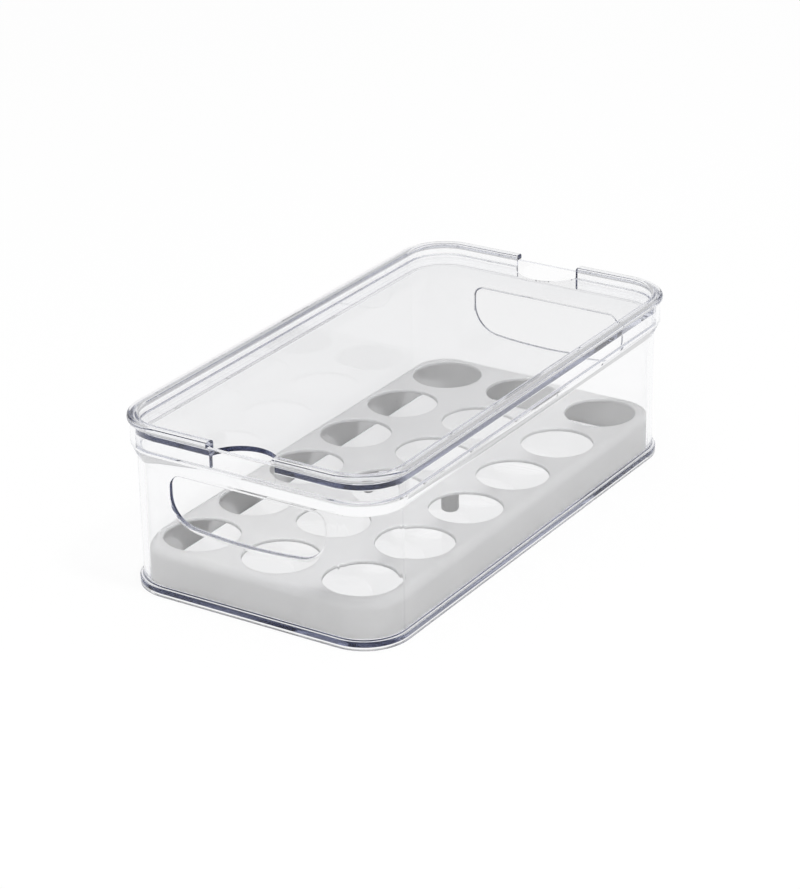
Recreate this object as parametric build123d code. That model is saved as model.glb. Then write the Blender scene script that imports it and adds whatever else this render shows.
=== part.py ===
from build123d import *
import math
import os

# Egg keeper: a clear bin with a handle hole in each short end, a white tray with a round hole for
# each egg, and a clear lid that nests inside the rim of the bin and lifts straight off.
# Sizes are in millimetres. The origin is the middle of the foot, on the surface that the bin
# stands on. +X runs across the width, +Y along the length and +Z up.

# Egg holes in the tray
eggs_across = 3
eggs_along = 6
egg_hole_diameter = 40.2
pitch_across = 50.0
pitch_along = 49.0
side_margin = 5.4          # from a hole to the long side of the tray
end_margin = 6.4           # from a hole to the short end of the tray

# Tray: a plate with a skirt all round, open below
tray_height = 21.1
tray_wall = 2.0
tray_corner = 20.4
tray_round = 5.0           # outer edge where the plate turns down into the skirt
hole_round = 0.5
skirt_foot_round = 0.3
leg_diameter = 9.6         # legs under the middle of the plate
leg_lift = 4.4             # they stop this far above the floor, and catch a sagging plate
leg_round = 1.6
tray_gap = 1.0             # between the skirt and the wall of the bin
tray_seat = 0.3            # between the foot of the skirt and the rounding that it stands on

# Bin
bin_height = 93.8
bin_wall = 2.8
floor_thickness = 2.4
floor_lift = 0.8           # underside of the floor above the foot
foot_overhang = 2.0
foot_height = 5.2
foot_width = 5.0           # flat ring that the bin stands on
foot_top_round = 1.0
foot_cove = 0.9            # hollow where the foot meets the wall
foot_low_round = 0.7
ledge_width = 3.7          # inner step below the rim
ledge_depth = 12.4         # from the top of the rim down to the ledge
rim_wall = 2.4
rim_band = 12.8            # upright outer face of the rim
flare_height = 7.2         # sloping outer face below it
flare_top_round = 0.3
flare_low_round = 0.8
rim_round = 0.7
inner_round = 2.5          # inside, where the floor meets the wall
ledge_round = 0.35

# Handle holes: flat on top, with a bowed lower edge
handle_width = 94.6
handle_height = 28.8
handle_drop = 22.9         # from the top of the rim down to the top of the hole
handle_bow = 4.0
handle_top_corner = 6.0
handle_low_corner = 16.0
handle_outer_round = 2.0   # on the outer face, where the fingers bear
handle_inner_round = 0.5

# Lid
lid_gap = 0.4              # between the lid and the inside of the rim
lid_wall = 2.0
skirt_lift = 0.6           # lower edge of the skirt above the ledge
bead_overhang = 1.25       # beyond the outside of the rim
bead_seat = 0.1            # film of air between the bead and the rim
bead_height = 3.2
bead_round = 1.7
bead_under_round = 0.6
panel_drop = 2.7           # from the top of the rim down to the top of the panel
panel_thickness = 2.8
panel_round = 0.4
skirt_round = 0.5

# Finger notches: one in each short end of the lid, with a scoop in the panel behind it
notch_width = 40.0
scoop_depth = 16.0

# Outlines, from the eggs outward. Each is (width, length, corner radius).
tray_outer = (
    (eggs_across - 1) * pitch_across + egg_hole_diameter + 2 * side_margin,
    (eggs_along - 1) * pitch_along + egg_hole_diameter + 2 * end_margin,
    tray_corner,
)


def grown(outline, amount):
    width, length, corner = outline
    return (width + 2 * amount, length + 2 * amount, corner + amount)


tray_inner = grown(tray_outer, -tray_wall)
bin_inner = grown(tray_outer, tray_gap)
bin_outer = grown(bin_inner, bin_wall)
foot_outer = grown(bin_outer, foot_overhang)
foot_inner = grown(foot_outer, -foot_width)
rim_inner = grown(bin_inner, ledge_width)
rim_outer = grown(rim_inner, rim_wall)
lid_outer = grown(rim_inner, -lid_gap)
lid_inner = grown(lid_outer, -lid_wall)
bead_outer = grown(rim_outer, bead_overhang)

# Heights above the surface that the bin stands on
floor_top = floor_lift + floor_thickness
ledge_top = bin_height - ledge_depth
band_bottom = bin_height - rim_band
flare_bottom = band_bottom - flare_height
handle_top = bin_height - handle_drop
handle_bottom = handle_top - handle_height

# The rounding inside the bin carries the skirt of the tray, a little above the floor.
foot_reach = inner_round - skirt_foot_round - tray_seat
foot_inset = inner_round - skirt_foot_round - tray_gap
tray_foot = floor_top + inner_round - skirt_foot_round - math.sqrt(foot_reach**2 - foot_inset**2)
tray_top = tray_foot + tray_height
plate_bottom = tray_top - tray_wall
skirt_bottom = ledge_top + skirt_lift
bead_bottom = bin_height + bead_seat
lid_top = bead_bottom + bead_height
panel_top = bin_height - panel_drop
panel_bottom = panel_top - panel_thickness

overrun = 5.0              # cutting bodies run this far past the faces that they cut
tolerance = 0.01           # for telling which edges lie at a place


def edges_at(shape, axis, place):
    return shape.edges().filter_by_position(axis, place - tolerance, place + tolerance)


def slab(outline, low, high):
    return extrude(Plane.XY.offset(low) * RectangleRounded(*outline), high - low)


def ring_edges(shape, outline, height):
    # The edges of a shape that follow one outline at one height.
    width, length, corner = outline

    def follows(edge):
        middle = edge @ 0.5
        across = abs(middle.X) - (width / 2 - corner)
        along = abs(middle.Y) - (length / 2 - corner)
        distance = math.hypot(max(across, 0), max(along, 0)) + min(max(across, along), 0) - corner
        return abs(distance) < tolerance

    return edges_at(shape, Axis.Z, height).filter_by(follows)


def egg_place(column, row):
    # Where an egg stands. A half between two whole numbers lies midway between two eggs.
    return (
        (column - (eggs_across - 1) / 2) * pitch_across,
        (row - (eggs_along - 1) / 2) * pitch_along,
    )


# Bin


def make_handle_cut():
    # One bar through both short ends, drawn with its flat top on the X axis.
    half = handle_width / 2
    shoulder = handle_bow - handle_height
    sides = Polyline((half, shoulder), (half, 0), (-half, 0), (-half, shoulder))
    bow = ThreePointArc((-half, shoulder), (0, -handle_height), (half, shoulder))
    hole = make_face(sides + bow)
    hole = fillet(hole.vertices().group_by(Axis.Y)[-1], handle_top_corner)
    hole = fillet(hole.vertices().group_by(Axis.Y)[0], handle_low_corner)
    reach = bin_outer[1] / 2 + overrun
    return Pos(0, 0, handle_top) * extrude(Plane.XZ * hole, reach, both=True)


def handle_edges(body, face_y):
    # The rim of a handle hole on one face of a short wall.
    rim = edges_at(body, Axis.Y, face_y)
    rim = rim.filter_by_position(Axis.Z, handle_bottom - tolerance, handle_top + tolerance)
    return rim.filter_by_position(Axis.X, -handle_width / 2 - tolerance, handle_width / 2 + tolerance)


def make_bin():
    foot = slab(foot_outer, 0, foot_height)
    foot = fillet(ring_edges(foot, foot_outer, foot_height), foot_top_round)
    foot = fillet(ring_edges(foot, foot_outer, 0), foot_low_round)
    wall = slab(bin_outer, floor_top, flare_bottom)
    slope = math.degrees(math.atan2(ledge_width + rim_wall - bin_wall, flare_height))
    flare = extrude(Plane.XY.offset(flare_bottom) * RectangleRounded(*bin_outer), flare_height, taper=-slope)
    band = slab(rim_outer, band_bottom, bin_height)
    body = foot + wall + flare + band
    body = fillet(ring_edges(body, rim_outer, band_bottom), flare_top_round)
    body = fillet(ring_edges(body, bin_outer, flare_bottom), flare_low_round)
    body = fillet(ring_edges(body, bin_outer, foot_height), foot_cove)

    inside = slab(bin_inner, floor_top, bin_height)
    inside = fillet(ring_edges(inside, bin_inner, floor_top), inner_round)
    rim_space = slab(rim_inner, ledge_top, bin_height)
    rim_space = fillet(ring_edges(rim_space, rim_inner, ledge_top), ledge_round)
    body -= inside + rim_space
    body -= slab(foot_inner, -overrun, floor_lift)
    body = fillet(ring_edges(body, bin_inner, ledge_top), rim_round)
    body = fillet(ring_edges(body, rim_inner, bin_height), rim_round)
    body = fillet(ring_edges(body, rim_outer, bin_height), rim_round)

    body -= make_handle_cut()
    for outline, radius in ((bin_inner, handle_inner_round), (bin_outer, handle_outer_round)):
        for side in (-1, 1):
            body = fillet(handle_edges(body, side * outline[1] / 2), radius)
    return body


# Tray


def make_leg():
    # A round leg that hangs from the origin.
    length = plate_bottom - floor_top - leg_lift
    leg = Cylinder(leg_diameter / 2, length, align=(Align.CENTER, Align.CENTER, Align.MAX))
    return fillet(leg.edges().group_by(Axis.Z)[0], leg_round)


def make_tray():
    shell = slab(tray_outer, tray_foot, tray_top)
    shell = fillet(ring_edges(shell, tray_outer, tray_top), tray_round)
    hollow = slab(tray_inner, tray_foot - overrun, plate_bottom)
    hollow = fillet(ring_edges(hollow, tray_inner, plate_bottom), tray_round - tray_wall)
    tray = shell - hollow
    tray = fillet(ring_edges(tray, tray_outer, tray_foot), skirt_foot_round)

    # The legs stand midway between four eggs, in the first and the last gap between columns.
    middle_row = eggs_along // 2 - 0.5
    for column in (0.5, eggs_across - 1.5):
        tray += Pos(*egg_place(column, middle_row), plate_bottom) * make_leg()

    for column in range(eggs_across):
        for row in range(eggs_along):
            hole = Cylinder(egg_hole_diameter / 2, 2 * tray_wall + 2 * overrun)
            tray -= Pos(*egg_place(column, row), tray_top) * hole
    return fillet(edges_at(tray, Axis.Z, tray_top).filter_by(GeomType.CIRCLE), hole_round)


# Lid


def make_notch_cut(side):
    # The scoop's arc meets both ends of the notch at the outer face of the lid's wall.
    half = notch_width / 2
    wall_y = lid_outer[1] / 2
    arc = ThreePointArc((-half, -wall_y), (0, scoop_depth - wall_y), (half, -wall_y))
    outer_y = -bead_outer[1] / 2 - overrun
    sides = Polyline((half, -wall_y), (half, outer_y), (-half, outer_y), (-half, -wall_y))
    height = lid_top - skirt_bottom + 2 * overrun
    cut = extrude(Plane.XY.offset(skirt_bottom - overrun) * make_face(arc + sides), height)
    return cut if side < 0 else Rot(0, 0, 180) * cut


def make_lid():
    wall = slab(lid_outer, skirt_bottom, lid_top)
    bead = slab(bead_outer, bead_bottom, lid_top)
    bead = fillet(ring_edges(bead, bead_outer, bead_bottom), bead_under_round)
    lid = wall + bead
    pan = slab(lid_inner, panel_top, lid_top)
    pan = fillet(ring_edges(pan, lid_inner, panel_top), panel_round)
    under = slab(lid_inner, skirt_bottom, panel_bottom)
    under = fillet(ring_edges(under, lid_inner, panel_bottom), panel_round)
    lid -= pan + under
    lid = fillet(ring_edges(lid, bead_outer, lid_top), bead_round)
    lid = fillet(ring_edges(lid, lid_inner, lid_top), bead_round)
    lid = fillet(ring_edges(lid, lid_outer, skirt_bottom), skirt_round)
    lid = fillet(ring_edges(lid, lid_inner, skirt_bottom), skirt_round)
    for side in (-1, 1):
        lid -= make_notch_cut(side)
    return lid


os.makedirs("parts", exist_ok=True)
export_step(make_bin(), "parts/bin.step")
export_step(make_tray(), "parts/egg_tray.step")
export_step(make_lid(), "parts/lid.step")
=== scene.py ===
import bmesh
import bpy
import math
from mathutils import Matrix, Vector

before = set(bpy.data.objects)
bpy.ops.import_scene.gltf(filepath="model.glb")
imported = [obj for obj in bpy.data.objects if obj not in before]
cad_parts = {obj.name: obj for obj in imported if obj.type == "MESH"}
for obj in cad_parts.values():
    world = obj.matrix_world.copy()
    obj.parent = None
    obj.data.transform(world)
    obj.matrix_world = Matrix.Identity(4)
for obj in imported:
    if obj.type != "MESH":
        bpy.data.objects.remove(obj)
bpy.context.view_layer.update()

# Egg keeper: clear bin, white egg tray, clear lid. Metres, z up, the foot stands on z = 0.
scene = bpy.context.scene
print("frame loaded:", ", ".join(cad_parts))


# Shader maths as plain expressions


class Sock:
    # A node's output that can be added, multiplied and so on
    def __init__(self, tree, out):
        self.tree, self.out = tree, out

    def __add__(self, other):
        return self.tree.maths("ADD", self, other)

    def __radd__(self, other):
        return self.tree.maths("ADD", other, self)

    def __sub__(self, other):
        return self.tree.maths("SUBTRACT", self, other)

    def __rsub__(self, other):
        return self.tree.maths("SUBTRACT", other, self)

    def __mul__(self, other):
        return self.tree.maths("MULTIPLY", self, other)

    def __rmul__(self, other):
        return self.tree.maths("MULTIPLY", other, self)


class Tree:
    def __init__(self, idBlock):
        idBlock.use_nodes = True
        self.nodes, self.links = idBlock.node_tree.nodes, idBlock.node_tree.links
        self.nodes.clear()

    def node(self, kind, settings=None, inputs=None, output=0):
        made = self.nodes.new(kind)
        for key, value in (settings or {}).items():
            setattr(made, key, value)
        for key, value in (inputs or {}).items():
            if isinstance(value, Sock):
                self.links.new(value.out, made.inputs[key])
            else:
                made.inputs[key].default_value = value
        return Sock(self, made.outputs[output]) if made.outputs else None

    def maths(self, operation, first, second):
        return self.node("ShaderNodeMath", {"operation": operation}, {0: first, 1: second})


def newMaterial(name):
    material = bpy.data.materials.new(name)
    return material, Tree(material)


# Clear plastic

clear = {
    "ior": 1.57,
    "roughness": 0.004,
    "mirror": (0.35, 0.35, 0.35, 1),  # weakens the faces' reflections, not those inside a plate
    "density": {"bin": 5.0, "lid": 8.0},  # per metre
    "tint": (0.06, 0.11, 0.34, 1),  # a colour's loss per metre is the density times one less this
    "shadeTint": (0.97, 0.97, 0.975, 1),  # how much of a lamp's light one face lets through
    "edgeShade": 0.9,  # share of it that a face seen edge-on stops
    "waveScale": 38.0,
    "waveDetail": 1.0,
    "waveHeight": 0.00001,
}


def clearPlastic(node):
    material, tree = newMaterial(node + "Clear")
    place = tree.node("ShaderNodeTexCoord", output="Object")
    waves = tree.node(
        "ShaderNodeTexNoise",
        inputs={"Vector": place, "Scale": clear["waveScale"], "Detail": clear["waveDetail"]},
    )
    ripple = tree.node(
        "ShaderNodeBump", inputs={"Height": waves, "Distance": clear["waveHeight"], "Strength": 1.0}
    )
    glass = tree.node(
        "ShaderNodeBsdfPrincipled",
        inputs={
            "Base Color": (1, 1, 1, 1),
            "Roughness": clear["roughness"],
            "IOR": clear["ior"],
            "Specular Tint": clear["mirror"],
            "Transmission Weight": 1.0,
            "Normal": ripple,
        },
    )
    shade = tree.node("ShaderNodeBsdfTransparent", inputs={"Color": clear["shadeTint"]})
    shadowRay = tree.node("ShaderNodeLightPath", output="Is Shadow Ray")
    facing = tree.node("ShaderNodeLayerWeight", inputs={"Blend": 0.5}, output="Facing")
    lampShare = shadowRay * (1 - clear["edgeShade"] * facing * facing * facing)
    surface = tree.node("ShaderNodeMixShader", inputs={0: lampShare, 1: glass, 2: shade})
    volume = tree.node(
        "ShaderNodeVolumeAbsorption", inputs={"Color": clear["tint"], "Density": clear["density"][node]}
    )
    tree.node("ShaderNodeOutputMaterial", inputs={"Surface": surface, "Volume": volume})
    return material


# White tray

white = {
    "colour": (0.92, 0.915, 0.9, 1),
    "roughness": 0.42,
    "milky": 1.0,  # share of the light that goes into the plastic and comes out again nearby
    "depth": 0.006,  # how far it goes
    "grainScale": 2600.0,
    "grainDetail": 3.0,
    "grainHeight": 0.00002,
    "grainShare": 0.4,
}


def whitePlastic():
    material, tree = newMaterial("whitePlastic")
    place = tree.node("ShaderNodeTexCoord", output="Object")
    grain = tree.node(
        "ShaderNodeTexNoise",
        inputs={"Vector": place, "Scale": white["grainScale"], "Detail": white["grainDetail"]},
    )
    bump = tree.node(
        "ShaderNodeBump",
        inputs={"Height": grain, "Distance": white["grainHeight"], "Strength": white["grainShare"]},
    )
    plastic = tree.node(
        "ShaderNodeBsdfPrincipled",
        inputs={
            "Base Color": white["colour"],
            "Roughness": white["roughness"],
            "Subsurface Weight": white["milky"],
            "Subsurface Radius": (1.0, 1.0, 1.0),
            "Subsurface Scale": white["depth"],
            "Normal": bump,
        },
    )
    tree.node("ShaderNodeOutputMaterial", inputs={"Surface": plastic})
    return material


def finish(node, material):
    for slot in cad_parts[node].material_slots:
        slot.material = material


finish("bin", clearPlastic("bin"))
finish("lid", clearPlastic("lid"))
finish("egg_tray", whitePlastic())
print("materials set")


# Floor: shows as plain white, and still takes a little of the object's shadow

floor = {"side": 6.0, "drop": 0.0001, "shadowShare": 0.08, "colour": (0.9, 0.9, 0.9, 1)}


def seenRay(tree):
    # 1 for what the camera sees straight, in a reflection or through the plastic,
    # 0 for the light that falls on the tray
    camera = tree.node("ShaderNodeLightPath", output="Is Camera Ray")
    glossy = tree.node("ShaderNodeLightPath", output="Is Glossy Ray")
    through = tree.node("ShaderNodeLightPath", output="Is Transmission Ray")
    scattered = tree.node("ShaderNodeLightPath", output="Diffuse Depth")
    seen = tree.maths("MAXIMUM", tree.maths("MAXIMUM", camera, glossy), through)
    return seen * tree.maths("LESS_THAN", scattered, 0.5)


def makeFloor():
    material, tree = newMaterial("floorWhite")
    matte = tree.node("ShaderNodeBsdfDiffuse", inputs={"Color": floor["colour"]})
    glow = tree.node("ShaderNodeEmission", inputs={"Color": (1, 1, 1, 1), "Strength": 1.0})
    share = seenRay(tree) * (1 - floor["shadowShare"])
    surface = tree.node("ShaderNodeMixShader", inputs={0: share, 1: matte, 2: glow})
    tree.node("ShaderNodeOutputMaterial", inputs={"Surface": surface})
    shape = bmesh.new()
    bmesh.ops.create_grid(shape, x_segments=1, y_segments=1, size=floor["side"] / 2)
    bmesh.ops.translate(shape, verts=shape.verts, vec=(0, 0, -floor["drop"]))
    mesh = bpy.data.meshes.new("floor")
    shape.to_mesh(mesh)
    shape.free()
    mesh.materials.append(material)
    piece = bpy.data.objects.new("floor", mesh)
    scene.collection.objects.link(piece)


makeFloor()


# World: white to the eye, a plain soft light on the object

studio = {
    "ambient": 0.66,
    "seen": 1.0,
    "dim": 0.6,  # of a grey band round the room, above the white sweep and below the ceiling
    "dimBand": (0.12, 0.2, 0.6, 0.7),  # the sines of the heights where it starts, is full, and ends
}


def makeWorld():
    world = bpy.data.worlds.new("studio")
    scene.world = world
    tree = Tree(world)
    seen = seenRay(tree)
    low, lowFull, highFull, high = studio["dimBand"]
    along = tree.node("ShaderNodeTexCoord", output="Generated")
    height = tree.node("ShaderNodeSeparateXYZ", inputs={"Vector": along}, output="Z")
    rises = tree.node(
        "ShaderNodeMapRange", inputs={"Value": height, "From Min": low, "From Max": lowFull}
    )
    falls = tree.node(
        "ShaderNodeMapRange", inputs={"Value": height, "From Min": high, "From Max": highFull}
    )
    direct = tree.node("ShaderNodeLightPath", output="Is Camera Ray")
    room = studio["seen"] - (studio["seen"] - studio["dim"]) * rises * falls * (1 - direct)
    strength = seen * (room - studio["ambient"]) + studio["ambient"]
    glow = tree.node("ShaderNodeBackground", inputs={"Color": (1, 1, 1, 1), "Strength": strength})
    tree.node("ShaderNodeOutputWorld", inputs={"Surface": glow})


makeWorld()


# Lamps

lampTarget = (0, 0, 0.04)
lamps = {
    "key": {"from": (1.0, -0.2, 2.0), "size": 0.3, "watts": 25.0},
    "front": {"from": (0.15, -2.0, 0.9), "size": 1.2, "watts": 10.0},
}


def makeLamps():
    target = Vector(lampTarget)
    for name, lamp in lamps.items():
        data = bpy.data.lights.new(name, "AREA")
        data.shape = "DISK"
        data.size = lamp["size"]
        data.energy = lamp["watts"]
        place = Vector(lamp["from"])
        made = bpy.data.objects.new(name, data)
        made.location = place
        made.rotation_euler = (target - place).to_track_quat("-Z", "Y").to_euler()
        made.visible_glossy = False
        made.visible_transmission = False
        scene.collection.objects.link(made)


makeLamps()
print("floor, world and lamps set")


# Camera

view = {
    "azimuth": 33.35,
    "elevation": 24.01,
    "roll": -1.2,
    "distance": 1.64134,
    "target": (-0.01821, -0.01133, 0.04),
    "focal": 3009.37,  # in pixels
    "longSide": 889,  # of the picture, in pixels
    "shift": (-31.61, 0.91),  # of the picture's middle, in pixels
    "sensor": 36.0,  # in millimetres
    "clip": (0.05, 20.0),
}


def makeCamera():
    a, e = math.radians(view["azimuth"]), math.radians(view["elevation"])
    back = Vector((math.sin(a) * math.cos(e), -math.cos(a) * math.cos(e), math.sin(e)))
    data = bpy.data.cameras.new("camera")
    data.sensor_width = view["sensor"]
    data.lens = view["focal"] * data.sensor_width / view["longSide"]
    data.shift_x = -view["shift"][0] / view["longSide"]
    data.shift_y = view["shift"][1] / view["longSide"]
    data.clip_start, data.clip_end = view["clip"]
    camera = bpy.data.objects.new("camera", data)
    camera.location = Vector(view["target"]) + back * view["distance"]
    turn = (-back).to_track_quat("-Z", "Y").to_matrix().to_4x4()
    camera.rotation_euler = (turn @ Matrix.Rotation(math.radians(view["roll"]), 4, "Z")).to_euler()
    scene.collection.objects.link(camera)
    scene.camera = camera


makeCamera()

# Light runs far along the inside of the clear plates before it comes out at an edge
bounces = {"inside": 250, "shade": 32}
scene.cycles.max_bounces = bounces["inside"]
scene.cycles.glossy_bounces = bounces["inside"]
scene.cycles.transmission_bounces = bounces["inside"]
scene.cycles.transparent_max_bounces = bounces["shade"]
scene.view_settings.view_transform = "Standard"
print("camera set")
